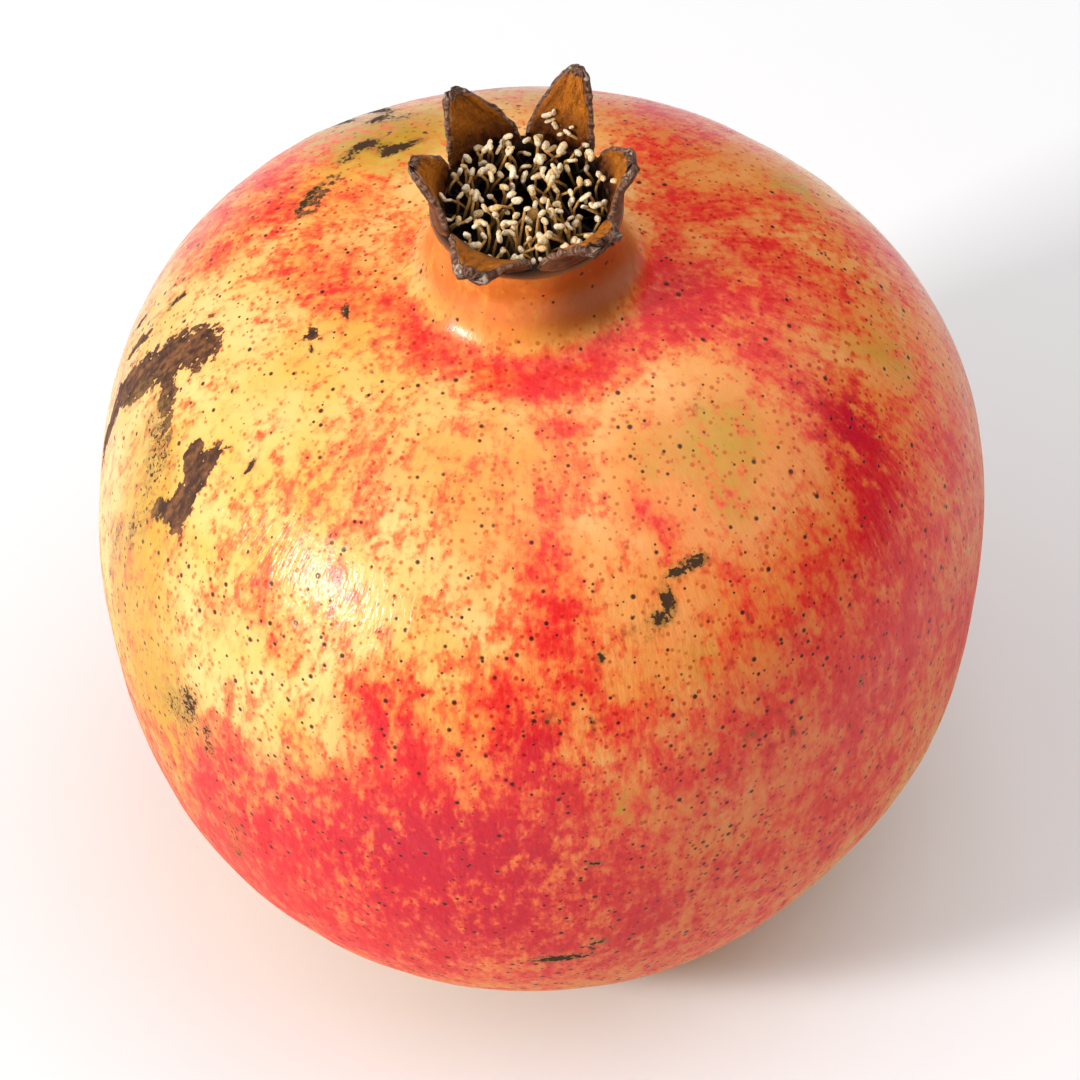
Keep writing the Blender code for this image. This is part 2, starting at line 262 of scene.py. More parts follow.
# Red blush: a ring round the neck's foot, streaks down the right shoulder, a band down the front
# and a deep red belly. The back, which the photograph hides, has a like share of its own.
BLUSH = [
    (278, 0.6, 1.8, 6.0, 0, 1.0),
    (276, 1.4, 2.0, 4.6, 0, 1.0),
    (221, -0.3, 1.5, 4.6, 0, 0.9),
    (226, 1.0, 2.0, 3.0, 0, 0.7),
    (198, 0.6, 1.4, 2.5, 0, 0.5),
    (300, 1.4, 2.6, 3.6, 0, 0.65),
    (160, -0.6, 1.6, 2.6, 0, 0.45),
    (334, 1.4, 3.2, 4.2, 0, 0.95),
    (358, -0.4, 2.6, 3.6, 0, 0.75),
    (348, 3.6, 3.5, 4.5, 0, 0.9),
    (246, 12.0, 7.0, 5.0, 0, 0.26),
    (232, 24.0, 9.0, 5.0, 0, 0.16),
    (172, 9.0, 6.0, 8.0, 0, 0.20),
    (322, 44.0, 12.0, 14.0, 0, 0.30),
    (352, 8.0, 6.0, 3.5, 15, 0.8),
    (340, 12.5, 4.5, 3.5, 0, 0.8),
    (338, 23.0, 5.0, 4.0, 0, 1.0),
    (332, 30.0, 6.0, 4.5, 0, 0.8),
    (11, 11.0, 5.0, 3.5, 0, 0.75),
    (3, 18.0, 5.0, 4.0, 0, 0.6),
    (30, 5.0, 5.0, 3.5, 0, 0.8),
    (27, 14.0, 6.0, 3.0, 0, 0.55),
    (54, 9.0, 5.0, 4.0, 0, 0.55),
    (62, 22.0, 8.0, 7.0, 0, 0.75),
    (20, 29.0, 8.0, 5.0, 0, 0.6),
    (350, 36.0, 8.0, 8.0, 0, 0.75),
    (328, 40.0, 9.0, 8.0, 0, 0.9),
    (313, 33.0, 5.0, 5.0, 0, 0.55),
    (318, 48.0, 10.0, 9.0, 0, 0.9),
    (300, 41.0, 6.0, 6.0, 0, 0.75),
    (289, 46.0, 5.0, 5.0, 0, 0.7),
    (303, 27.5, 4.0, 2.5, 0, 0.45),
    (279, 6.6, 1.2, 2.2, 0, 0.9),
    (281, 11.0, 3.0, 1.6, 0, 0.5),
    (276, 14.0, 2.6, 2.0, 0, 0.6),
    (273, 19.5, 3.2, 2.6, 0, 0.85),
    (274, 26.0, 3.6, 3.4, 0, 0.85),
    (276, 31.0, 3.0, 3.0, 0, 0.75),
    (268, 33.5, 3.0, 3.0, 0, 0.7),
    (292, 17.0, 1.4, 1.6, 0, 0.9),
    (295, 20.0, 2.6, 1.1, 0, 0.75),
    (269, 38.5, 5.0, 5.0, 0, 0.9),
    (284, 38.5, 4.0, 3.5, 0, 0.6),
    (250, 36.0, 3.8, 3.6, 0, 0.85),
    (254, 42.0, 4.5, 4.0, 0, 0.85),
    (228, 51.0, 4.0, 3.5, 0, 0.70),
    (225, 60.0, 6.0, 5.0, 0, 0.70),
    (256, 53.5, 7.0, 11.5, 0, 1.0),
    (264, 48.5, 5.0, 9.0, 0, 0.85),
    (250, 47.0, 3.6, 5.0, 0, 0.60),
    (272, 46.0, 4.0, 4.0, 0, 0.50),
    (238, 60.0, 8.0, 8.0, 0, 0.9),
    (262, 64.0, 9.0, 14.0, 0, 0.85),
    (248, 73.0, 8.0, 16.0, 0, 0.8),
    (283, 56.0, 5.0, 5.0, 0, 0.6),
    (284, 66.0, 7.0, 8.0, 0, 0.7),
    (228, 31.5, 3.0, 2.2, 0, 0.4),
    (222, 36.0, 2.6, 2.0, 0, 0.4),
    (234, 34.5, 2.0, 1.8, 0, 0.35),
    (229, 12.0, 3.0, 2.0, 0, 0.35),
    (238, 16.0, 4.0, 1.8, 0, 0.3),
    (183, 5.0, 3.5, 5.0, 0, 0.36),
    (172, 8.0, 4.0, 3.0, 0, 0.28),
    (152, 17.5, 4.5, 3.6, 0, 0.62),
    (163, 22.0, 4.5, 2.2, 0, 0.55),
    (155, 28.0, 4.0, 3.5, 0, 0.6),
    (144, 8.0, 3.5, 2.5, 0, 0.5),
    (140, 24.0, 7.0, 5.0, 0, 0.6),
    (132, 44.0, 12.0, 9.0, 0, 0.8),
    (150, 58.0, 10.0, 9.0, 0, 0.7),
    (104, 34.0, 11.0, 8.0, 0, 0.5),
    (85, 52.0, 13.0, 12.0, 0, 0.9),
    (60, 44.0, 11.0, 7.0, 0, 0.8),
    (38, 52.0, 11.0, 9.0, 0, 0.85),
    (12, 50.0, 10.0, 8.0, 0, 0.8),
    (345, 58.0, 9.0, 10.0, 0, 0.85),
    (310, 64.0, 9.0, 12.0, 0, 0.8),
    (190, 64.0, 8.0, 7.0, 0, 0.55),
    (232, 74.0, 9.0, 14.0, 0, 0.80),
    (20, 80.0, 8.0, 16.0, 0, 0.50),
    (115, 82.0, 8.0, 14.0, 0, 0.50),
    (165, 74.0, 8.0, 12.0, 0, 0.45),
    (295, 80.0, 8.0, 14.0, 0, 0.50),
    (205, 72.0, 8.0, 10.0, 0, 0.50),
    (100, 70.0, 8.0, 12.0, 0, 0.7),
    (40, 72.0, 8.0, 12.0, 0, 0.7),
]
CRIMSON = [
    (256, 54.0, 8.0, 10.0, 0, 1.0),
    (263, 50.0, 5.0, 7.0, 0, 0.80),
    (270, 54.0, 2.4, 3.0, 0, 1.0),
    (250, 38.0, 4.0, 3.6, 0, 0.6),
    (271, 39.0, 5.0, 4.0, 0, 0.6),
    (262, 63.0, 9.0, 15.0, 0, 0.8),
    (338, 23.5, 4.0, 3.4, 0, 0.9),
    (331, 31.0, 5.0, 3.5, 0, 0.5),
    (345, 3.0, 4.0, 4.0, 0, 0.5),
    (230, 58.0, 6.0, 8.0, 0, 0.5),
    (85, 54.0, 8.0, 9.0, 0, 0.8),
    (38, 50.0, 6.0, 6.0, 0, 0.6),
]
# An orange wash over the yellow ground, broad and soft, with no edges of its own.
WARMTH = [
    (304, 17.0, 13.0, 12.0, 0, 0.70),
    (318, 32.0, 14.0, 12.0, 0, 0.80),
    (288, 30.0, 10.0, 10.0, 0, 0.55),
    (0, 34.0, 20.0, 18.0, 0, 0.80),
    (262, 16.0, 9.0, 6.0, 0, 0.45),
    (172, 8.0, 6.0, 8.0, 0, 0.30),
    (55, 16.0, 16.0, 14.0, 0, 0.60),
    (110, 40.0, 20.0, 18.0, 0, 0.55),
    (255, 64.0, 12.0, 20.0, 0, 0.70),
    (310, 56.0, 18.0, 22.0, 0, 0.85),
    (232, 74.0, 12.0, 20.0, 0, 0.70),
    (60, 82.0, 12.0, 30.0, 0, 0.60),
    (180, 84.0, 12.0, 24.0, 0, 0.50),
    (300, 84.0, 12.0, 24.0, 0, 0.60),
]
# Greenish and olive ground, where the fruit ripened least. The marks on the left towards the
# camera, at bearings 203 to 215 and 36 to 58 mm down, are darker still as painted shade, where
# the skin turns away from the light.
OLIVE_AND_SHADE = [
    (203, 44.0, 10.0, 7.0, 0, 0.75),
    (214, 58.0, 10.0, 8.0, 0, 0.85),
    (122, 14.0, 8.0, 8.0, 0, 0.95),
    (128, 26.0, 8.0, 6.0, 0, 0.6),
    (193, 31.0, 5.0, 5.0, 0, 0.7),
    (205, 36.0, 8.0, 6.0, 0, 0.45),
    (215, 52.0, 9.0, 6.0, 0, 0.75),
    (317, 14.0, 5.0, 4.5, 0, 0.75),
    (300, 12.0, 4.0, 4.0, 0, 0.5),
    (308, 20.0, 4.5, 3.0, 0, 0.5),
    (356, 25.0, 6.0, 3.5, 0, 0.7),
    (33, 21.0, 5.0, 4.0, 0, 0.7),
    (8, 25.0, 4.0, 2.5, 0, 0.5),
    (281, 48.0, 4.0, 3.5, 0, 0.8),
    (294, 33.0, 4.0, 3.0, 0, 0.4),
    (88, 20.0, 6.0, 9.0, 0, 0.6),
    (110, 48.0, 7.0, 6.0, 0, 0.6),
    (170, 56.0, 9.0, 7.0, 0, 0.6),
    (62, 36.0, 5.0, 4.0, 0, 0.5),
]
# Corky russet scars: a T on the left shoulder, a forked one under it, flecks and a rubbed streak.
RUSSET = [
    (184, 21.5, 2.3, 2.2, 0, 1.0),
    (182, 26.0, 3.2, 2.4, 0, 1.0),
    (180, 31.0, 3.6, 2.1, 0, 1.0),
    (178, 36.5, 3.6, 1.7, 0, 1.0),
    (179, 42.5, 3.4, 1.2, 0, 1.0),
    (172, 33.0, 2.6, 0.9, 0, 0.9),
    (189, 27.2, 1.2, 2.2, 0, 1.0),
    (194, 28.4, 1.0, 1.4, 0, 0.6),
    (202.5, 26.0, 1.4, 1.0, 0, 1.0),
    (206.4, 24.2, 1.7, 0.9, -10, 1.0),
    (205.6, 26.8, 1.4, 1.9, 0, 1.0),
    (207.4, 29.0, 1.8, 1.3, 0, 1.0),
    (206.6, 31.6, 2.0, 1.7, 0, 1.0),
    (203.8, 33.4, 1.2, 1.3, 0, 0.9),
    (195.5, 9.2, 0.8, 0.8, 0, 1.0),
    (192.5, 5.3, 0.35, 0.7, 0, 0.9),
    (200, 10.2, 0.22, 0.9, 0, 0.8),
    (147, 12.6, 1.2, 4.6, 0, 0.53),
    (58, 30.0, 2.8, 1.2, 15, 0.64),
    (66, 33.5, 1.2, 2.8, 30, 0.60),
    (98, 41.0, 2.6, 1.0, 0, 0.62),
    (118, 62.0, 1.8, 2.8, 0, 0.60),
    (15, 62.0, 1.4, 3.0, 20, 0.58),
]
# Sooty scuffs and specks.
SCUFFS = [
    (294.6, 23.7, 0.65, 1.2, 0, 1.0),
    (298.2, 23.4, 0.70, 1.1, 0, 1.0),
    (291.8, 26.0, 1.3, 0.70, 0, 1.0),
    (290.0, 27.6, 1.0, 1.2, 0, 0.68),
    (286.4, 28.4, 1.6, 1.4, 0, 0.42),
    (280.3, 29.8, 0.7, 0.5, 0, 1.0),
    (273.2, 71.6, 0.9, 3.2, 0, 0.95),
    (277.6, 69.0, 0.7, 1.1, 0, 0.9),
    (198.4, 19.1, 0.45, 0.35, 0, 1.0),
    (200.5, 9.9, 0.2, 1.1, 0, 0.7),
    (212.2, 13.8, 0.2, 0.25, 0, 1.0),
    (213.6, 13.7, 0.2, 0.25, 0, 1.0),
    (213.8, 21.8, 1.9, 0.28, 8, 0.95),
    (168.8, 26.4, 1.6, 0.6, 0, 0.8),
    (166.7, 34.3, 2.0, 0.7, 0, 0.85),
    (170.5, 27.6, 0.8, 0.4, 0, 0.7),
    (123.5, 10.6, 0.80, 2.2, 0, 1.0),
    (128.0, 14.6, 1.2, 1.8, 0, 0.90),
    (126.0, 11.6, 1.6, 1.2, 0, 0.72),
    (134.0, 14.2, 1.1, 1.3, 0, 0.62),
    (119.0, 20.0, 1.6, 1.7, 0, 0.78),
    (115.5, 17.6, 1.0, 1.9, 0, 0.60),
    (121.5, 28.0, 4.5, 1.2, 0, 1.0),
    (116.0, 25.0, 3.6, 1.1, 0, 0.90),
    (146.5, 13.4, 0.9, 2.4, 0, 0.72),
    (151.0, 13.6, 0.5, 1.6, 0, 0.62),
    (192.3, 29.7, 4.0, 3.6, 0, 0.50),
    (198.4, 31.0, 3.0, 2.0, 0, 0.42),
    (201.0, 37.0, 5.0, 2.6, 0, 0.48),
    (196.0, 44.0, 6.0, 3.0, 0, 0.44),
    (183.0, 32.0, 4.0, 1.6, 0, 0.46),
    (209.0, 43.0, 3.4, 1.8, 0, 0.40),
    (221.0, 48.5, 3.0, 1.4, 0, 0.60),
    (224.5, 51.5, 3.6, 1.2, 0, 0.56),
    (217.5, 51.5, 5.0, 3.2, 0, 0.50),
    (203.5, 57.3, 6.0, 1.8, 0, 0.46),
    (227.0, 66.0, 7.0, 2.4, 0, 0.46),
    (278.2, 36.2, 0.8, 0.5, 0, 0.75),
    (273.0, 35.4, 0.9, 0.8, 0, 0.60),
    (298.6, 43.5, 0.6, 1.2, 25, 0.70),
    (317.0, 45.5, 1.0, 0.7, 0, 0.70),
    (277.5, 54.7, 0.4, 1.0, 0, 0.85),
    (316.0, 10.5, 1.0, 1.0, 0, 0.45),
    (84.0, 8.6, 1.2, 1.2, 0, 0.55),
    (96.0, 24.0, 1.0, 2.6, 0, 0.60),
    (70.0, 47.0, 2.6, 0.8, 10, 0.66),
    (44.0, 34.0, 1.0, 2.0, 0, 0.60),
    (140.0, 50.0, 3.0, 2.0, 0, 0.55),
    (158.0, 40.0, 2.6, 1.1, 0, 0.60),
    (110.0, 57.0, 1.0, 2.0, 0, 0.64),
    (25.0, 44.0, 2.0, 0.7, 0, 0.64),
]
# The grain unrolls the skin on a tube of this radius, so that streaks run from the neck downwards.
GRAIN_RADIUS = 0.030
fields = {
    "blush": patches(BLUSH, 1.0),
    "crimson": patches(CRIMSON, 1.0),
    "warmth": patches(WARMTH, 1.0),
    "olive_and_shade": patches(OLIVE_AND_SHADE, 1.0),
    "russet": patches(RUSSET, 1.2),
    "scuff": patches(SCUFFS, 1.0),
    "streaky": smooth_step(down, -0.002, 0.010) * (1 - 0.6 * smooth_step(down, 0.022, 0.050)) + 0 * bearing,
    "pored": smooth_step(down, 0.012, 0.045) * (0.75 - 0.25 * np.cos(bearing)),
    "matt": smooth_step(down, 0.036, 0.060) + 0 * bearing,
    "creased": 0.15 + 0.85 * smooth_step(down, 0.012, 0.034) + 0 * bearing,
    "neck": (1 - smooth_step(down, -0.0058, -0.0010)) + 0 * bearing,
    # Painted shade: the neck's right side, away from the light.
    "neck_right_shade": (1 - smooth_step(down, -0.0050, 0.0)) * smooth_step(np.cos(bearing + math.radians(28)), 0.3, 0.98),
    # The rim's lip under the sepals: dried, and darkened with painted shade.
    "withered_and_shaded": (1 - smooth_step(down, -0.0114, -0.0104)) + 0 * bearing,
    # The inside of the cup, painted near-black with shade.
    "inside_cup": (1 - smooth_step(down, -0.0118, -0.0110)) + 0 * bearing,
    "grain": np.stack(
        [GRAIN_RADIUS * np.cos(bearing) + 0 * down, GRAIN_RADIUS * np.sin(bearing) + 0 * down, down + 0 * bearing],
        axis=-1,
    ),
}


class Finish:
    """A material mixed step by step: each call adds one step and returns what comes out of it."""

    def __init__(self, name):
        self.material = bpy.data.materials.new(name)
        self.material.use_nodes = True
        self.tree = self.material.node_tree
        self.shader = self.tree.nodes["Principled BSDF"]

    def step(self, kind, inputs, **settings):
        made = self.tree.nodes.new(kind)
        for label, value in settings.items():
            setattr(made, label, value)
        for key, value in inputs.items():
            if isinstance(value, bpy.types.NodeSocket):
                self.tree.links.new(value, made.inputs[key])
            else:
                made.inputs[key].default_value = value
        return made.outputs

    def place(self):
        return self.step("ShaderNodeTexCoord", {})["Object"]

    def field(self, name, output="Fac"):
        return self.step("ShaderNodeAttribute", {}, attribute_name=name)[output]

    def sums(self, operation, a, b=0.0, c=0.0):
        return self.step("ShaderNodeMath", {0: a, 1: b, 2: c}, operation=operation)[0]

    def stretched(self, place, scale):
        return self.step("ShaderNodeVectorMath", {0: place, 1: scale}, operation="MULTIPLY")[0]

    def noise(self, place, size, detail=3.0, roughness=0.55):
        """Cloudy noise about 0, with features of the size given, from about -1 to 1."""
        inputs = {"Vector": place, "Scale": 1 / size, "Detail": detail, "Roughness": roughness}
        raw = self.step("ShaderNodeTexNoise", inputs)["Fac"]
        return self.sums("MULTIPLY_ADD", raw, 4.0, -2.0)

    def climb(self, value, low, high, out_low=0.0, out_high=1.0):
        """A smooth climb from one value to another, as the input goes from low to high."""
        inputs = {"Value": value, "From Min": low, "From Max": high, "To Min": out_low, "To Max": out_high}
        return self.step("ShaderNodeMapRange", inputs, interpolation_type="SMOOTHSTEP")["Result"]

    def blend(self, share, below, above):
        """One colour laid over another, by a share from 0 to 1."""
        below, above = [(*c, 1.0) if isinstance(c, tuple) else c for c in (below, above)]
        return self.step("ShaderNodeMix", {0: share, 6: below, 7: above}, data_type="RGBA")[2]

    def dots(self, place, spacing, size, kept):
        """Small round dots: the core of each cell of a scatter, in the share of the cells kept."""
        cells = self.step("ShaderNodeTexVoronoi", {"Vector": place, "Scale": 1 / spacing, "Randomness": 1.0})
        chance = self.step("ShaderNodeSeparateColor", {"Color": cells["Color"]})
        width = self.sums("MULTIPLY_ADD", chance["Green"], 0.8 * size / spacing, 0.6 * size / spacing)
        ratio = self.sums("DIVIDE", cells["Distance"], width)
        core = self.climb(ratio, 1.0, 0.45)
        return self.sums("MULTIPLY", core, self.sums("LESS_THAN", chance["Red"], kept))

    def emboss(self, height, depth, below=None):
        inputs = {"Height": height, "Distance": depth, "Strength": 1.0}
        if below is not None:
            inputs["Normal"] = below
        return self.step("ShaderNodeBump", inputs)["Normal"]

    def wear(self, colour, roughness, relief):
        for key, value in (("Base Color", colour), ("Roughness", roughness), ("Normal", relief)):
            self.tree.links.new(value, self.shader.inputs[key])
        return self.material


SKIN_CREAM = (0.88, 0.54, 0.20)
SKIN_YELLOW = (0.82, 0.40, 0.065)
SKIN_ORANGE = (0.80, 0.185, 0.040)
SKIN_LIGHT_RED = (0.80, 0.062, 0.030)
SKIN_RED = (0.72, 0.014, 0.014)
SKIN_CRIMSON = (0.54, 0.005, 0.024)
# Olive ground, also laid as painted shade on the left towards the camera.
SKIN_OLIVE_AND_SHADE = (0.52, 0.28, 0.022)
FLECK_RUST = (0.50, 0.085, 0.012)
FLECK_RED = (0.50, 0.008, 0.006)
NECK_TAN = (0.56, 0.120, 0.014)
# Brown for the painted shade on the neck's right side, away from the light.
NECK_SHADE_BROWN = (0.26, 0.045, 0.004)
RUSSET_DARK = (0.050, 0.017, 0.007)
RUSSET_PALE = (0.25, 0.095, 0.030)
RUSSET_SPECK = (0.72, 0.46, 0.26)
SCUFF_BLACK = (0.055, 0.022, 0.007)
SCUFF_HALO = (0.24, 0.135, 0.026)
PORE_DARK = (0.030, 0.008, 0.005)
# Near-black of the cup's inside: its dark dried wall deepened with painted shade of the hollow.
CUP_DARK_AND_SHADE = (0.016, 0.005, 0.001)
# Brown of the rim's lip under the sepals: dried tissue darkened with painted shade.
RIM_LIP_SHADE_BROWN = (0.20, 0.060, 0.016)


def rind_finish():
    """Yellow skin under a red blush that thickens in mottles and streaks down the fruit, with red
    flecks, dark pores, corky russet scars, sooty scuffs and olive patches, partly painted shade on
    the left towards the camera; a tan neck with painted shade on its right side, a brown rim lip
    darkened with painted shade under the sepals, and a cup painted near-black with the shade of
    its hollow over its dark dried wall."""
    rind = Finish("rind")
    rind.shader.inputs["Specular IOR Level"].default_value = 0.24
    place = rind.place()
    grain = rind.field("grain", "Vector")
    broad = rind.noise(place, 0.013)
    middling = rind.noise(place, 0.0046, 3.0, 0.6)
    drawn_down = rind.stretched(place, (1, 1, 0.58))
    mottles = rind.noise(drawn_down, 0.0017, 4.0, 0.62)
    fine = rind.noise(drawn_down, 0.00075, 3.0, 0.6)
    streaks = rind.noise(rind.stretched(grain, (1, 1, 0.22)), 0.00085, 3.0, 0.6)
    long_streaks = rind.noise(rind.stretched(grain, (1, 1, 0.16)), 0.0024, 2.0, 0.5)

    blush = rind.field("blush")
    streaky = rind.field("streaky")
    ground = rind.blend(rind.climb(broad, -0.9, 0.9), SKIN_CREAM, SKIN_YELLOW)
    ground = rind.blend(rind.climb(mottles, -0.4, 1.3, 0.0, 0.35), ground, SKIN_ORANGE)
    warmth = rind.sums("MULTIPLY_ADD", broad, 0.18, rind.field("warmth"))
    ground = rind.blend(rind.climb(warmth, 0.0, 1.0, 0.0, 0.75), ground, SKIN_ORANGE)
    ground = rind.blend(rind.climb(blush, 0.05, 0.7, 0.0, 0.7), ground, SKIN_ORANGE)
    # Olive ground: partly real, and partly painted shade on the left towards the camera.
    olive_and_shade = rind.sums("MULTIPLY_ADD", middling, 0.20, rind.field("olive_and_shade"))
    ground = rind.blend(rind.climb(olive_and_shade, 0.15, 0.95), ground, SKIN_OLIVE_AND_SHADE)
    mottle = rind.sums("MULTIPLY_ADD", middling, 0.25, rind.sums("MULTIPLY", mottles, 0.38))
    mottle = rind.sums("MULTIPLY_ADD", fine, 0.28, mottle)
    strokes = rind.sums("MULTIPLY_ADD", long_streaks, 0.7, streaks)
    mottle = rind.sums("MULTIPLY_ADD", rind.sums("MULTIPLY", strokes, streaky), 0.22, mottle)
    ripe = rind.sums("MULTIPLY_ADD", blush, 0.84, mottle)
    skin_colour = rind.blend(rind.climb(ripe, -0.06, 0.50, 0.0, 0.85), ground, SKIN_ORANGE)
    skin_colour = rind.blend(rind.climb(ripe, 0.14, 0.80), skin_colour, SKIN_LIGHT_RED)
    skin_colour = rind.blend(rind.climb(ripe, 0.46, 1.10), skin_colour, SKIN_RED)
    deep = rind.sums("MULTIPLY", rind.field("crimson"), rind.climb(ripe, 0.30, 0.88))
    skin_colour = rind.blend(deep, skin_colour, SKIN_CRIMSON)

    flecks = rind.dots(place, 0.00090, 0.00025, 0.95)
    ruddy = rind.blend(rind.climb(blush, 0.05, 0.45), FLECK_RUST, FLECK_RED)
    skin_colour = rind.blend(rind.sums("MULTIPLY", flecks, 0.80), skin_colour, ruddy)
    tan = rind.sums("MULTIPLY", rind.field("neck"), 0.94)
    necked = rind.blend(rind.climb(middling, -0.6, 0.8), NECK_TAN, SKIN_ORANGE)
    necked = rind.blend(rind.climb(mottles, -0.2, 1.2, 0.0, 0.6), necked, SKIN_YELLOW)
    skin_colour = rind.blend(tan, skin_colour, necked)
    # Painted shade: the neck's right side, away from the light, is blended towards brown.
    neck_right_shade = rind.sums("MULTIPLY_ADD", mottles, 0.12, rind.field("neck_right_shade"))
    skin_colour = rind.blend(rind.climb(neck_right_shade, 0.05, 1.0, 0.0, 0.8), skin_colour, NECK_SHADE_BROWN)
    crowded = rind.sums("MULTIPLY_ADD", rind.field("pored"), 0.62, 0.19)
    pores = rind.dots(place, 0.00122, 0.00027, crowded)
    freckles = rind.dots(rind.stretched(place, (1.3, 1.3, 1.3)), 0.00128, 0.00024, 0.20)
    pores = rind.sums("MAXIMUM", pores, freckles)
    skin_colour = rind.blend(rind.sums("MULTIPLY", pores, 0.94), skin_colour, PORE_DARK)

    ragged = rind.sums("MULTIPLY_ADD", fine, 0.30, rind.sums("MULTIPLY", mottles, 0.32))
    ragged = rind.sums("MULTIPLY_ADD", streaks, 0.14, ragged)
    scar = rind.sums("ADD", rind.field("russet"), ragged)
    cork = rind.climb(scar, 0.42, 0.48)
    corky = rind.blend(rind.climb(rind.sums("ADD", streaks, fine), -0.8, 1.6), RUSSET_DARK, RUSSET_PALE)
    specks = rind.dots(place, 0.00066, 0.00012, 0.16)
    corky = rind.blend(specks, corky, RUSSET_SPECK)
    skin_colour = rind.blend(rind.climb(scar, 0.22, 0.48, 0.0, 0.35), skin_colour, RUSSET_PALE)
    skin_colour = rind.blend(cork, skin_colour, corky)
    crumbs = rind.noise(place, 0.00042, 2.0, 0.5)
    sooty = rind.sums("MULTIPLY_ADD", mottles, 0.14, rind.field("scuff"))
    sooty = rind.sums("MULTIPLY_ADD", crumbs, 0.28, sooty)
    soot = rind.climb(sooty, 0.55, 0.68)
    stained = rind.sums("MULTIPLY_ADD", fine, 0.20, rind.sums("MULTIPLY", mottles, 0.26))
    stained = rind.climb(rind.sums("ADD", stained, rind.field("scuff")), 0.20, 0.80, 0.0, 0.75)
    skin_colour = rind.blend(stained, skin_colour, SCUFF_HALO)
    skin_colour = rind.blend(soot, skin_colour, SCUFF_BLACK)
    # The rim's lip under the sepals is browned: dried tissue with painted shade on it.
    withered_and_shaded = rind.sums("MULTIPLY_ADD", mottles, 0.25, rind.field("withered_and_shaded"))
    skin_colour = rind.blend(rind.climb(withered_and_shaded, 0.25, 0.75), skin_colour, RIM_LIP_SHADE_BROWN)
    # Painted shade: the inside of the cup is coloured near-black over its dark dried wall.
    hollow = rind.field("inside_cup")
    skin_colour = rind.blend(hollow, skin_colour, CUP_DARK_AND_SHADE)

    gloss = rind.climb(mottles, -1.0, 1.0, 0.20, 0.28)
    gloss = rind.sums("MULTIPLY_ADD", rind.field("matt"), 0.28, gloss)
    dulled = rind.sums("MAXIMUM", cork, rind.sums("MAXIMUM", soot, hollow))
    gloss = rind.sums("MULTIPLY_ADD", dulled, 0.42, gloss)
    creases = rind.noise(rind.stretched(grain, (1, 1, 0.24)), 0.00040, 2.0, 0.55)
    creases = rind.sums("MULTIPLY", creases, rind.field("creased"))
    relief = rind.emboss(creases, 0.000026)
    relief = rind.emboss(mottles, 0.000022, relief)
    scabs = rind.sums("MULTIPLY", cork, rind.sums("ADD", fine, 2.0))
    scabs = rind.sums("MULTIPLY_ADD", pores, -0.6, scabs)
    relief = rind.emboss(scabs, 0.00006, relief)
    return rind.wear(skin_colour, gloss, relief)


pit_top = stand([(0, 0, PIT_DEPTH - BASE_DEPTH)])
cup_bottom = stand([(0, 0, CUP_FLOOR)])
stood = stand(skin)
stood[..., 2] = np.maximum(stood[..., 2], 0.0)
rind_piece = make_piece("rind_skin", stood, [cup_bottom[0], pit_top[0]], fields, rind_finish())
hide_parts("rind")

# The stem: the fruit hung by it and was cut off it, so a woody stub is left in a pit under the
# fruit. It is grown on, a short plug of grey-brown bark round pale pith, its cut face rough.
STEM_RADIUS = 0.0031
STEM_LENGTH = 0.0024
STEM_TOP = PIT_DEPTH - BASE_DEPTH - 0.0003
STEM_SIDES = 48


def stem_finish():
    """Dry bark round the side, and on the cut face rings of paler wood with a dark pith."""
    stem = Finish("stem")
    place = stem.place()
    out = stem.field("from_middle")
    grain = stem.noise(place, 0.0006, 4.0, 0.6)
    rings = stem.sums("SINE", stem.sums("MULTIPLY_ADD", grain, 0.9, stem.sums("MULTIPLY", out, 22.0)))
    wood = stem.blend(stem.climb(rings, -1.0, 1.0), (0.20, 0.115, 0.055), (0.40, 0.27, 0.15))
    wood = stem.blend(stem.climb(out, 0.24, 0.12), wood, (0.07, 0.035, 0.018))
    bark = stem.blend(stem.climb(grain, -0.6, 0.8), (0.06, 0.033, 0.018), (0.22, 0.15, 0.095))
    colour = stem.blend(stem.climb(out, 0.80, 0.94), wood, bark)
    relief = stem.emboss(stem.sums("MULTIPLY_ADD", rings, 0.3, grain), 0.00006)
    return stem.wear(colour, stem.climb(grain, -1.0, 1.0, 0.7, 0.9), relief)


stem_line = np.array(
    [(0.02, 0.0), (2.6, 0.0), (3.0, -0.25), (3.1, -0.7), (3.0, -1.3), (3.1, -1.9), (2.9, -2.25), (2.5, -2.4), (0.02, -2.25)]
)
stem_line = evenly(stem_line * MM, 0.00012)
turn = np.linspace(0, math.tau, STEM_SIDES, endpoint=False)[None, :]
stem_radius = stem_line[:, :1] + 0 * turn
stem_height = STEM_TOP + stem_line[:, 1:] + 0 * turn
on_side = smooth_step(stem_radius, 0.0020, 0.0031)
bark_ribs = 0.00007 * np.sin(9 * turn + 0.6) + 0.00005 * np.sin(17 * turn)
stem_radius = stem_radius + on_side * (bark_ribs - 0.0001)
stub = np.stack([stem_radius * np.cos(turn), stem_radius * np.sin(turn), stem_height], axis=-1)
roughness = 0.00006 * waves(stub, 0.0011, 21) * (stem_line[:, 1:] < -0.0012)
stub[..., 2] += roughness
stem_ends = stand([(0, 0, STEM_TOP), (0, 0, stub[-1, :, 2].mean())])
from_middle = stem_line[:, :1] / STEM_RADIUS + 0 * turn
stem_piece = make_piece("stem_stub", stand(stub), stem_ends, {"from_middle": from_middle}, stem_finish())
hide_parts("stem")

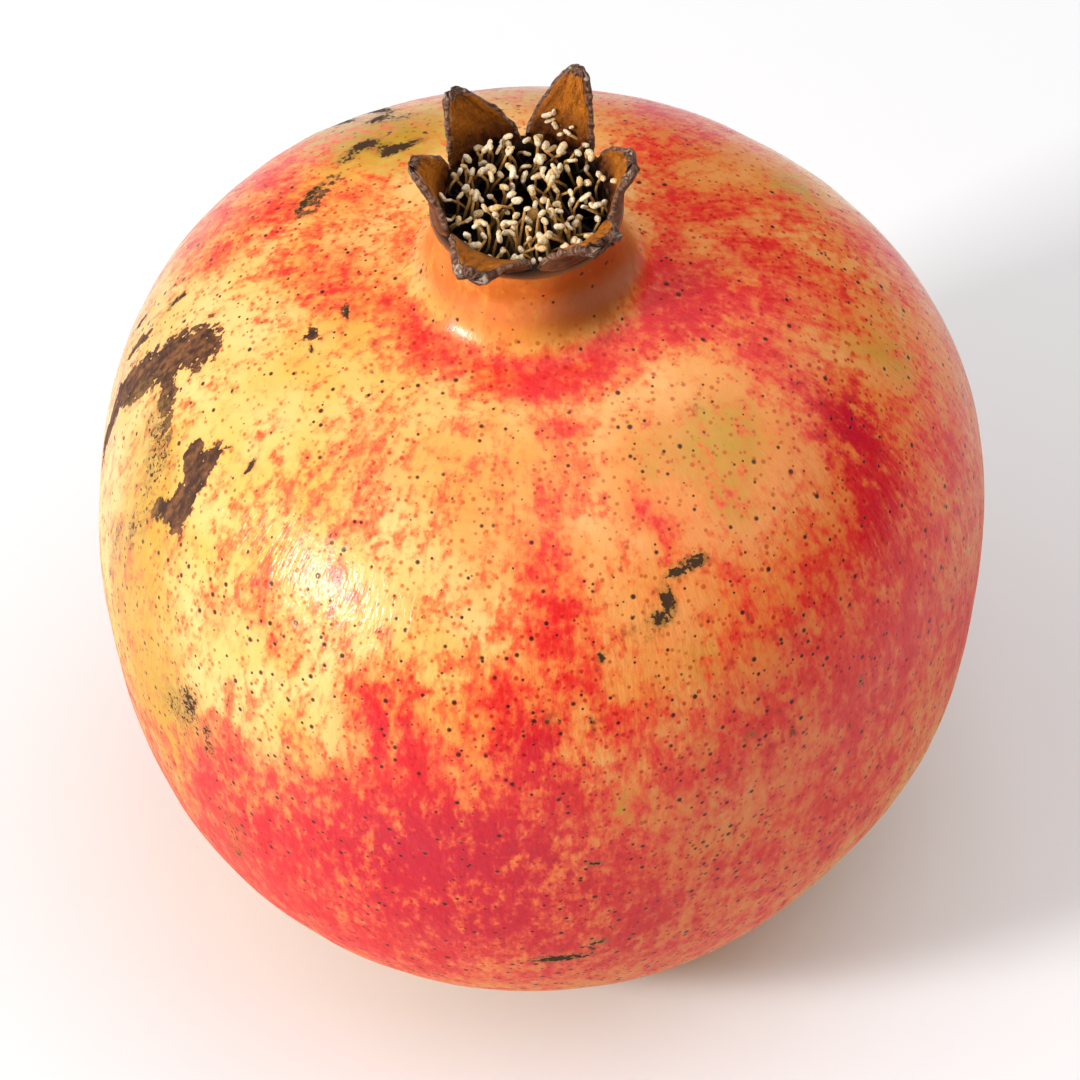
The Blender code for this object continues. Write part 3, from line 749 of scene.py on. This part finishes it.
# The sepals: six lobes of the flower's cup, dried hard and leathery on the rim of the neck. They
# are amber and glossy inside, dull brown outside, with thick rolled edges greyed by wear. Each is
# a flat oval section carried along its middle line from the rim to the tip.
FOOT_RADIUS = RIM_RADIUS - CUP_WALL / 2
FOOT_HEIGHT = RIM_TOP - 0.0004
SEPAL_ROUND = 56
SEPAL_ALONG = 54
NOTCH_BEARINGS = np.radians([-26, 40.7, 92, 149, 211, 275])
NEXT_NOTCHES = np.append(NOTCH_BEARINGS[1:], NOTCH_BEARINGS[0] + math.tau)
SEPALS = [
    # tip's bearing, radius and height over the rim, bulge of the middle, width and hook of the tip
    (0, 9.8, 5.7, 0.7, 0.24, 1.2),
    (59, 10.2, 9.8, 0.4, 0.17, 0.3),
    (133, 10.5, 7.9, 0.4, 0.12, 0.2),
    (179, 11.0, 5.6, 0.2, 0.15, 0.4),
    (245, 13.2, 2.0, -0.6, 0.22, 0.0),
    (314, 11.0, 3.2, 0.0, 0.40, 1.0),
]
# How much thicker each sepal's tip is: the two low ones in front curled up as they dried.
CURLED = [0.35, 0.20, 0.20, 0.25, 0.9, 0.9]


def sepal_finish():
    """Dark at the foot and amber towards the tip on the inner face, dull brown outside, with
    fine veins up the blade and grey-brown worn edges."""
    sepal = Finish("sepal")
    sepal.shader.inputs["Specular IOR Level"].default_value = 0.30
    blade = sepal.field("blade", "Vector")
    cloud = sepal.noise(blade, 0.0017, 4.0, 0.6)
    veins = sepal.noise(sepal.stretched(blade, (1.0, 0.16, 1.0)), 0.00030, 3.0, 0.6)
    crumbs = sepal.noise(blade, 0.00035, 3.0, 0.65)
    height = sepal.sums("MULTIPLY_ADD", cloud, 0.12, sepal.field("height"))
    inner = sepal.blend(sepal.climb(height, 0.05, 0.30), (0.014, 0.004, 0.0015), (0.13, 0.032, 0.004))
    inner = sepal.blend(sepal.climb(height, 0.22, 0.58), inner, (0.60, 0.175, 0.010))
    inner = sepal.blend(sepal.climb(cloud, -0.4, 0.9, 0.0, 0.8), inner, (0.20, 0.048, 0.006))
    inner = sepal.blend(sepal.climb(veins, 0.1, 1.2, 0.0, 0.35), inner, (0.09, 0.022, 0.004))
    outer = sepal.blend(sepal.climb(cloud, -0.9, 0.9), (0.075, 0.020, 0.006), (0.25, 0.075, 0.018))
    outer = sepal.blend(sepal.climb(sepal.field("height"), 0.16, 0.0), outer, (0.30, 0.085, 0.016))
    colour = sepal.blend(sepal.field("inside"), outer, inner)
    edge = sepal.blend(sepal.climb(crumbs, -0.5, 0.8), (0.060, 0.016, 0.006), (0.34, 0.17, 0.095))
    worn = sepal.climb(sepal.sums("MULTIPLY_ADD", crumbs, 0.20, sepal.field("edge")), 0.40, 0.75)
    colour = sepal.blend(worn, colour, edge)
    bleached = sepal.sums("MULTIPLY_ADD", crumbs, 0.75, sepal.field("tip"))
    bleached = sepal.climb(sepal.sums("MULTIPLY_ADD", cloud, 0.20, bleached), 0.90, 1.3, 0.0, 0.85)
    colour = sepal.blend(bleached, colour, (0.46, 0.36, 0.28))
    gloss = sepal.sums("MULTIPLY_ADD", sepal.field("inside"), -0.20, 0.48)
    gloss = sepal.sums("MULTIPLY_ADD", bleached, 0.25, gloss)
    relief = sepal.emboss(veins, 0.00004)
    relief = sepal.emboss(crumbs, 0.00006, relief)
    return sepal.wear(colour, gloss, relief)


def polar(at_bearing, at_radius, at_height):
    return np.array([at_radius * math.cos(at_bearing), at_radius * math.sin(at_bearing), at_height])


def sepal_blade(number, across, along):
    """Points of a sepal's middle surface, across it from -1 to 1 and along it from 0 to 1. Its
    middle line is a Bezier curve from the rim over a knee to the tip, hooked near its end. The
    blade narrows with straight sides to a blunt tip, and is dished to the curve of the rim."""
    notch, next_notch = NOTCH_BEARINGS[number], NEXT_NOTCHES[number]
    tip_bearing, tip_radius, tip_height, bulge, tip_share, hook = SEPALS[number]
    tip_bearing = math.radians(tip_bearing)
    middle = (notch + next_notch) / 2
    half_angle = (next_notch - notch) / 2 - 0.012
    knee_bearing = (2 * middle + tip_bearing) / 3
    knee_height = RIM_TOP + 0.45 * tip_height * MM
    corners = [
        polar(middle, FOOT_RADIUS, FOOT_HEIGHT),
        polar(knee_bearing, FOOT_RADIUS + bulge * MM, knee_height),
        polar(tip_bearing, tip_radius * MM, RIM_TOP + tip_height * MM),
    ]
    line = bezier(corners, along)
    ahead = bezier(corners, along + 0.01) - line
    heading = ahead / np.linalg.norm(ahead, axis=-1, keepdims=True)
    facing = middle + along * (tip_bearing - middle)
    sideways = np.stack([-np.sin(facing), np.cos(facing), 0 * facing], axis=-1)
    outwards = np.cross(sideways, heading)
    hooked = smooth_step(along, 0.55, 1.25) * hook * MM
    widest = FOOT_RADIUS * math.sin(half_angle)
    taper = (1 - np.abs(along) ** 1.85) ** 0.85
    rounded = np.sqrt(1 - np.clip((along - 0.93) / 0.07, 0, 1) ** 2)
    ragged = 1 + 0.022 * waves(np.stack([across, 6 * along, 0 * along + number], axis=-1), 1.5, 31)
    half = widest * (tip_share + (1 - tip_share) * taper) * rounded * np.where(along > 0.1, ragged, 1)
    offset = across * half
    dish = FOOT_RADIUS - np.sqrt(FOOT_RADIUS**2 - offset**2)
    rolled = 0.25 * MM * np.abs(across) ** 5 * smooth_step(along, 0.1, 0.5) * rounded
    blade = line + sideways * offset[..., None] + outwards * (hooked - dish - rolled)[..., None]
    crumple = 0.10 * MM * waves(np.stack([1.6 * across, 2.2 * along, 0 * along], axis=-1), 0.9, 40 + number)
    return blade + outwards * (crumple * smooth_step(along, 0.1, 0.5))[..., None]


def sepal(number, finish):
    round_way = np.linspace(0, -math.tau, SEPAL_ROUND, endpoint=False)[None, :]
    share = np.linspace(0, 1, SEPAL_ALONG)[:, None]
    along = 1 - (1 - share) ** 1.25 + 0 * round_way
    along = np.minimum(along, 0.9995)
    across = -np.cos(round_way) + 0 * along
    blade = sepal_blade(number, across, along)
    side_step = sepal_blade(number, across + 0.01, along) - blade
    up_step = blade - sepal_blade(number, across, along - 0.002)
    normal = np.cross(side_step, up_step)
    normal /= np.linalg.norm(normal, axis=-1, keepdims=True)
    lip = np.sqrt(1 - np.abs(across) ** 6)
    closing = np.sqrt(1 - np.clip((along - 0.93) / 0.07, 0, 1) ** 2)
    thick = (1.20 - 0.40 * smooth_step(along, 0.0, 0.45)) * MM
    thick = thick * (1 + 0.30 * np.abs(across) ** 3 * smooth_step(along, 0.1, 0.4))
    thick = thick * (1 + CURLED[number] * smooth_step(along, 0.55, 0.95))
    side = np.where(np.sin(round_way) > 0, 1.0, -1.0)
    surface = blade + normal * (side * lip * closing * thick / 2)[..., None]
    edge = np.maximum(smooth_step(np.abs(across), 0.86, 0.98), smooth_step(along, 0.88, 0.96))
    edge = edge * smooth_step(along, 0.02, 0.2)
    crumpled = (0.04 + 0.08 * edge) * MM * waves(surface, 0.0009, 60 + number)
    surface += normal * crumpled[..., None]
    ends = [surface[0].mean(axis=0), surface[-1].mean(axis=0)]
    tip = smooth_step(along, 0.72, 0.98) * (0.35 + 0.65 * np.abs(across) ** 2)
    inside = np.where(np.sin(round_way) < 0, 1.0, 0.0) * smooth_step(1 - np.abs(across), 0.0, 0.03)
    width = FOOT_RADIUS * across
    blade_place = np.stack([width, along * 9 * MM, 0 * along + number * 0.02], axis=-1)
    grown = {"height": along, "inside": inside, "edge": edge, "tip": tip, "blade": blade_place}
    piece = make_piece(f"sepal_blade_{number + 1}", stand(surface), stand(ends), grown, finish)
    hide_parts(f"sepal_{number + 1}")
    return piece


dried_flower = sepal_finish()
for number in range(len(SEPALS)):
    sepal(number, dried_flower)

# The stamens: about a hundred dried threads in three rows on the cup's inner wall, each bent
# inwards and up to a pale anther shaped like a bean, crowded together at the crown's mouth.
FILAMENT_RADIUS = 0.00015
FILAMENT_SIDES = 5
ANTHER_SIDES = 8
STAMEN_ROWS = [
    # name, nodes it stands for, stamens, root's depth, nearest and farthest reach of the tips
    ("outer", 18, 72, 3.0, 5.2, 8.2),
    ("middle", 13, 50, 5.6, 2.9, 5.6),
    ("inner", 7, 24, 8.0, 0.9, 3.1),
]
DARK_HOLLOWS = [
    # x, y and radius of gaps that the photograph shows between the anthers, in millimetres
    (-0.6, 0.8, 1.3),
    (1.2, -0.6, 0.9),
    (-3.0, 3.9, 1.2),
    (0.6, 4.6, 1.0),
    (5.6, -2.3, 0.9),
    (1.6, -6.8, 1.3),
]


def stamen_finish():
    """Brown at the root, tan up the thread, and a cream anther with a darker groove."""
    stamen = Finish("stamen")
    place = stamen.place()
    grains = stamen.noise(place, 0.00022, 3.0, 0.6)
    patch = stamen.noise(place, 0.0011)
    pale = stamen.field("paleness")
    thread = stamen.blend(stamen.climb(pale, 0.17, 0.44), (0.016, 0.005, 0.002), (0.66, 0.33, 0.075))
    dusty = stamen.climb(stamen.sums("ADD", grains, patch), -0.9, 0.9)
    anther = stamen.blend(dusty, (0.84, 0.50, 0.16), (1.0, 0.89, 0.66))
    colour = stamen.blend(stamen.climb(pale, 0.55, 0.75), thread, anther)
    relief = stamen.emboss(grains, 0.00007)
    return stamen.wear(colour, stamen.climb(grains, -1.0, 1.0, 0.55, 0.75), relief)


def rods(paths, radii, sides, groove=0.0):
    """Thin rods along many paths at once: rings of points square to each path, each rod's rings
    turned on the plane that its own path bends in. A groove makes the section two-lobed."""
    heading = np.gradient(paths, axis=1)
    heading /= np.linalg.norm(heading, axis=-1, keepdims=True)
    plane = np.cross(paths[:, len(paths[0]) // 2] - paths[:, 0], paths[:, -1] - paths[:, 0])
    plane = (plane + 1e-9) / np.linalg.norm(plane + 1e-9, axis=-1, keepdims=True)
    first = np.cross(np.broadcast_to(plane[:, None], heading.shape), heading)
    first /= np.linalg.norm(first, axis=-1, keepdims=True)
    second = np.cross(heading, first)
    angle = np.linspace(0, math.tau, sides, endpoint=False)
    lobes = 1 + groove * np.cos(2 * angle)
    ring = first[:, :, None] * (np.cos(angle) * lobes)[:, None] + second[:, :, None] * (np.sin(angle) * lobes)[:, None]
    return paths[:, :, None] + ring * radii[:, :, None, None]


def join_rods(batches):
    """The points, faces and paleness of many rods as one mesh, each rod closed by flat ends."""
    points, faces, pale, start = [], [], [], 0
    for rings, paleness in batches:
        rod_count, ring_count, side_count = rings.shape[:3]
        rod, ring, side = np.meshgrid(
            np.arange(rod_count), np.arange(ring_count - 1), np.arange(side_count), indexing="ij"
        )
        base = start + (rod * ring_count + ring) * side_count
        following = (side + 1) % side_count
        quads = [base + side, base + following, base + side_count + following, base + side_count + side]
        faces += np.stack(quads, axis=-1).reshape(-1, 4).tolist()
        first = start + np.arange(rod_count)[:, None] * ring_count * side_count
        around = np.arange(side_count)
        faces += (first + around[::-1]).tolist()
        faces += (first + (ring_count - 1) * side_count + around).tolist()
        points.append(rings.reshape(-1, 3))
        pale.append(np.broadcast_to(paleness[:, :, None], rings.shape[:3]).ravel())
        start += rings[..., 0].size
    return np.concatenate(points), faces, np.concatenate(pale)


def place_rods(name, batches, finish, nodes):
    points, faces, pale = join_rods(batches)
    mesh = bpy.data.meshes.new(name)
    mesh.from_pydata(stand(points).tolist(), [], faces)
    mesh.attributes.new("paleness", "FLOAT", "POINT").data.foreach_set("value", pale.astype(np.float32))
    mesh.shade_smooth()
    mesh.materials.append(finish)
    piece = bpy.data.objects.new(name, mesh)
    bpy.context.scene.collection.objects.link(piece)
    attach(piece, "root")
    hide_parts(*nodes)


def anthers(tips, headings, lengths, widths, curls, seed):
    """Bean-shaped anthers: each leaves its filament's tip along a heading and curls to one side,
    swelling quickly, pinched a little in its middle, and closing round at its end."""
    chance = np.random.default_rng(seed)
    aside = np.cross(headings, chance.normal(size=headings.shape))
    aside /= np.linalg.norm(aside, axis=-1, keepdims=True)
    share = np.array([0.0, 0.07, 0.2, 0.36, 0.52, 0.68, 0.84, 0.95, 1.0])
    swell = np.array([0.35, 0.72, 0.95, 1.0, 0.92, 1.0, 0.93, 0.66, 0.25])
    bend = (curls[:, None] * share)[..., None]
    way = headings[:, None] * np.sin(bend) / np.maximum(curls, 0.05)[:, None, None]
    way = way + aside[:, None] * (1 - np.cos(bend)) / np.maximum(curls, 0.05)[:, None, None]
    paths = tips[:, None] + way * lengths[:, None, None]
    return rods(paths, widths[:, None] * swell, ANTHER_SIDES, 0.24)


# Anthers that broke off and stuck on the sepals: each sepal's number, with the places across and
# along its inner face.
STUCK_ANTHERS = {
    0: [(0.0, 0.45)],
    1: [(0.78, 0.40), (0.62, 0.32), (0.32, 0.43), (0.14, 0.26), (-0.06, 0.23), (-0.28, 0.34)],
    3: [(0.1, 0.35)],
    5: [(-0.97, 0.20)],
}
STUCK_LIFT = 0.00070


def stuck_anthers(seed):
    """Anthers lying on the sepals' inner faces: each is lifted off the middle surface along its
    normal, and headed at random in the plane of the face."""
    chance = np.random.default_rng(seed)
    spots, normals = [], []
    for number, places in STUCK_ANTHERS.items():
        across, along = np.array(places).T
        spot = sepal_blade(number, across, along)
        side_step = sepal_blade(number, across + 0.01, along) - spot
        up_step = sepal_blade(number, across, along + 0.01) - spot
        inwards = np.cross(up_step, side_step)
        inwards /= np.linalg.norm(inwards, axis=-1, keepdims=True)
        spots.append(spot + inwards * STUCK_LIFT)
        normals.append(inwards)
    spots, normals = np.concatenate(spots), np.concatenate(normals)
    heading = chance.normal(size=spots.shape)
    heading -= normals * (heading * normals).sum(axis=-1, keepdims=True)
    heading /= np.linalg.norm(heading, axis=-1, keepdims=True)
    count = len(spots)
    lengths = chance.uniform(0.0007, 0.0012, count)
    widths = chance.uniform(0.00020, 0.00028, count)
    return anthers(spots, heading, lengths, widths, chance.uniform(0.3, 1.6, count), seed + 1)


def stamen_row(number, finish):
    """One row: tips are spread evenly over a ring of the crown's mouth by the golden angle, then
    shaken and pushed out of the dark hollows; threads are Bezier curves from the wall."""
    name, node_count, count, root_depth, near, far = STAMEN_ROWS[number]
    chance = np.random.default_rng(70 + number)
    order = (np.arange(count) + 0.5) / count
    reach = np.sqrt(near**2 + (far**2 - near**2) * order) * MM
    angle = np.arange(count) * math.pi * (3 - math.sqrt(5)) + number
    tips = np.stack([reach * np.cos(angle), reach * np.sin(angle)], axis=-1)
    tips += chance.normal(scale=0.00028, size=tips.shape)
    for hollow_x, hollow_y, hollow_radius in DARK_HOLLOWS:
        away_from = tips - np.array([hollow_x, hollow_y]) * MM
        distance = np.linalg.norm(away_from, axis=-1, keepdims=True)
        tips += away_from / distance * np.maximum(hollow_radius * MM - distance, 0) * 0.9
    reach = np.linalg.norm(tips, axis=-1, keepdims=True)
    farthest = 0.0075 + 0.0005 * smooth_step(tips[:, 1:], 0.0, 0.004)
    tips *= np.minimum(1, farthest / reach)
    rise = 0.6 + 1.7 * tips[:, 1:] / 0.0076
    dome = RIM_TOP + (rise + chance.uniform(-1.4, 0.8, (count, 1))) * MM
    tips = np.concatenate([tips, dome], axis=-1)

    root_angle = np.arctan2(tips[:, 1], tips[:, 0]) + chance.normal(scale=0.35, size=count)
    depth = RIM_TOP - (root_depth + chance.uniform(-1.1, 1.1, count)) * MM
    wall = CUP_RADIUS - 0.00005
    roots = np.stack([wall * np.cos(root_angle), wall * np.sin(root_angle), depth], axis=-1)
    elbow = roots * (0.62, 0.62, 1) + tips * (0.38, 0.38, 0) - (0, 0, 0.0006)
    below = tips + chance.normal(scale=0.0016, size=tips.shape) * (1, 1, 0) - (0, 0, 0.0020)
    t = np.linspace(0, 1, 9)
    paths = bezier([roots[:, None], elbow[:, None], below[:, None], tips[:, None]], t)
    heading = paths[:, -1] - paths[:, -2]
    heading = heading / np.linalg.norm(heading, axis=-1, keepdims=True)
    heading += chance.normal(scale=0.75, size=heading.shape) * (1, 1, 0.35)
    heading /= np.linalg.norm(heading, axis=-1, keepdims=True)
    lengths = chance.uniform(0.0006, 0.0015, count)
    widths = chance.uniform(0.00020, 0.00038, count)
    curls = chance.uniform(0.3, 3.6, count)
    threads = rods(paths, np.full(paths.shape[:2], FILAMENT_RADIUS), FILAMENT_SIDES)
    beans = anthers(tips, heading, lengths, widths, curls, 80 + number)
    if name == "outer":
        beans = np.concatenate([beans, stuck_anthers(90)])
    batches = [
        (threads, np.broadcast_to(np.linspace(0, 0.5, 9) ** 1.3, threads.shape[:2])),
        (beans, np.broadcast_to(np.linspace(0.7, 1, 9), beans.shape[:2])),
    ]
    nodes = [f"stamen_{name}_{n + 1:02d}" for n in range(node_count)]
    place_rods(f"stamens_{name}", batches, finish, nodes)


dried_threads = stamen_finish()
for number in range(len(STAMEN_ROWS)):
    stamen_row(number, dried_threads)

# The style: the dried stalk that stood in the middle of the flower, browner than the stamens
# round it, with its bent head a little swollen.
style_path = bezier(
    [(0, 0, CUP_FLOOR), (-0.0003, 0, CUP_FLOOR + 0.0050), (0.0008, 0.0002, CUP_FLOOR + 0.0093)], np.linspace(0, 1, 12)
)
style_radii = 0.00042 * (1 + 0.45 * smooth_step(np.linspace(0, 1, 12), 0.75, 0.92))
style_radii[-1] *= 0.6
style = rods(style_path[None], style_radii[None], 10)
place_rods("style_stalk", [(style, np.linspace(0.15, 0.5, 12)[None])], dried_threads, ["style"])

# The studio: a white table, a large soft light low on the left, a weak fill, and a camera with a
# long lens looking down at the fruit as in the photograph.
floor_mesh = bpy.data.meshes.new("floor")
FLOOR_HALF = 1.5
floor_mesh.from_pydata(
    [(-FLOOR_HALF, -FLOOR_HALF, 0), (FLOOR_HALF, -FLOOR_HALF, 0), (FLOOR_HALF, FLOOR_HALF, 0), (-FLOOR_HALF, FLOOR_HALF, 0)],
    [],
    [(0, 1, 2, 3)],
)
floor = bpy.data.objects.new("floor", floor_mesh)
bpy.context.scene.collection.objects.link(floor)
paper = Finish("white_paper")
paper.shader.inputs["Base Color"].default_value = (0.82, 0.82, 0.83, 1.0)
paper.shader.inputs["Roughness"].default_value = 0.9
floor_mesh.materials.append(paper.material)

world = bpy.data.worlds.new("surround")
bpy.context.scene.world = world
world.use_nodes = True
SURROUND_DIM = 0.05
SURROUND_BRIGHT = 0.50
BRIGHT_SIDE = (-0.60, -0.05, 0.80)
surround = world.node_tree
surround.nodes["Background"].inputs["Color"].default_value = (1.0, 1.0, 1.0, 1.0)
sky = surround.nodes.new("ShaderNodeTexCoord")
towards = surround.nodes.new("ShaderNodeVectorMath")
towards.operation = "DOT_PRODUCT"
towards.inputs[1].default_value = BRIGHT_SIDE
surround.links.new(sky.outputs["Generated"], towards.inputs[0])
falling = surround.nodes.new("ShaderNodeMapRange")
falling.interpolation_type = "SMOOTHSTEP"
falling.inputs["From Min"].default_value = 0.0
falling.inputs["From Max"].default_value = 1.0
falling.inputs["To Min"].default_value = SURROUND_DIM
falling.inputs["To Max"].default_value = SURROUND_BRIGHT
surround.links.new(towards.outputs["Value"], falling.inputs["Value"])
surround.links.new(falling.outputs["Result"], surround.nodes["Background"].inputs["Strength"])

FRUIT_MIDDLE = Vector((AXIS_X, AXIS_Y, BASE_DEPTH - FLATTENED_BY))


def soft_light(name, heading, distance, width, tall, power):
    """A rectangular softbox, its face turned to the fruit's middle."""
    lamp = bpy.data.lights.new(name, "AREA")
    lamp.shape = "RECTANGLE"
    lamp.size = width
    lamp.size_y = tall
    lamp.energy = power
    holder = bpy.data.objects.new(name, lamp)
    heading = Vector(heading).normalized()
    holder.location = FRUIT_MIDDLE + heading * distance
    holder.rotation_euler = heading.to_track_quat("Z", "Y").to_euler()
    bpy.context.scene.collection.objects.link(holder)


soft_light("key_softbox", (-0.84, -0.45, 0.44), 0.9, 0.15, 0.15, 7.4)
soft_light("window", (-0.60, -0.12, 0.80), 1.1, 0.95, 0.95, 2.2)
soft_light("top_softbox", (0.42, 0.06, 0.92), 1.2, 1.6, 1.6, 12.0)

VIEW_ELEVATION = math.radians(48)
VIEW_DISTANCE = 0.62
AIM_RIGHT = 0.0005
AIM_UP = -0.0025
away = Vector((0, -math.cos(VIEW_ELEVATION), math.sin(VIEW_ELEVATION)))
picture_up = Vector((0, math.sin(VIEW_ELEVATION), math.cos(VIEW_ELEVATION)))
lens = bpy.data.cameras.new("camera")
lens.sensor_width = 36
lens.lens = 198
camera = bpy.data.objects.new("camera", lens)
camera.location = FRUIT_MIDDLE + Vector((AIM_RIGHT, 0, 0)) + picture_up * AIM_UP + away * VIEW_DISTANCE
camera.rotation_euler = away.to_track_quat("Z", "Y").to_euler()
bpy.context.scene.collection.objects.link(camera)
bpy.context.scene.camera = camera
bpy.context.scene.view_settings.view_transform = "Standard"
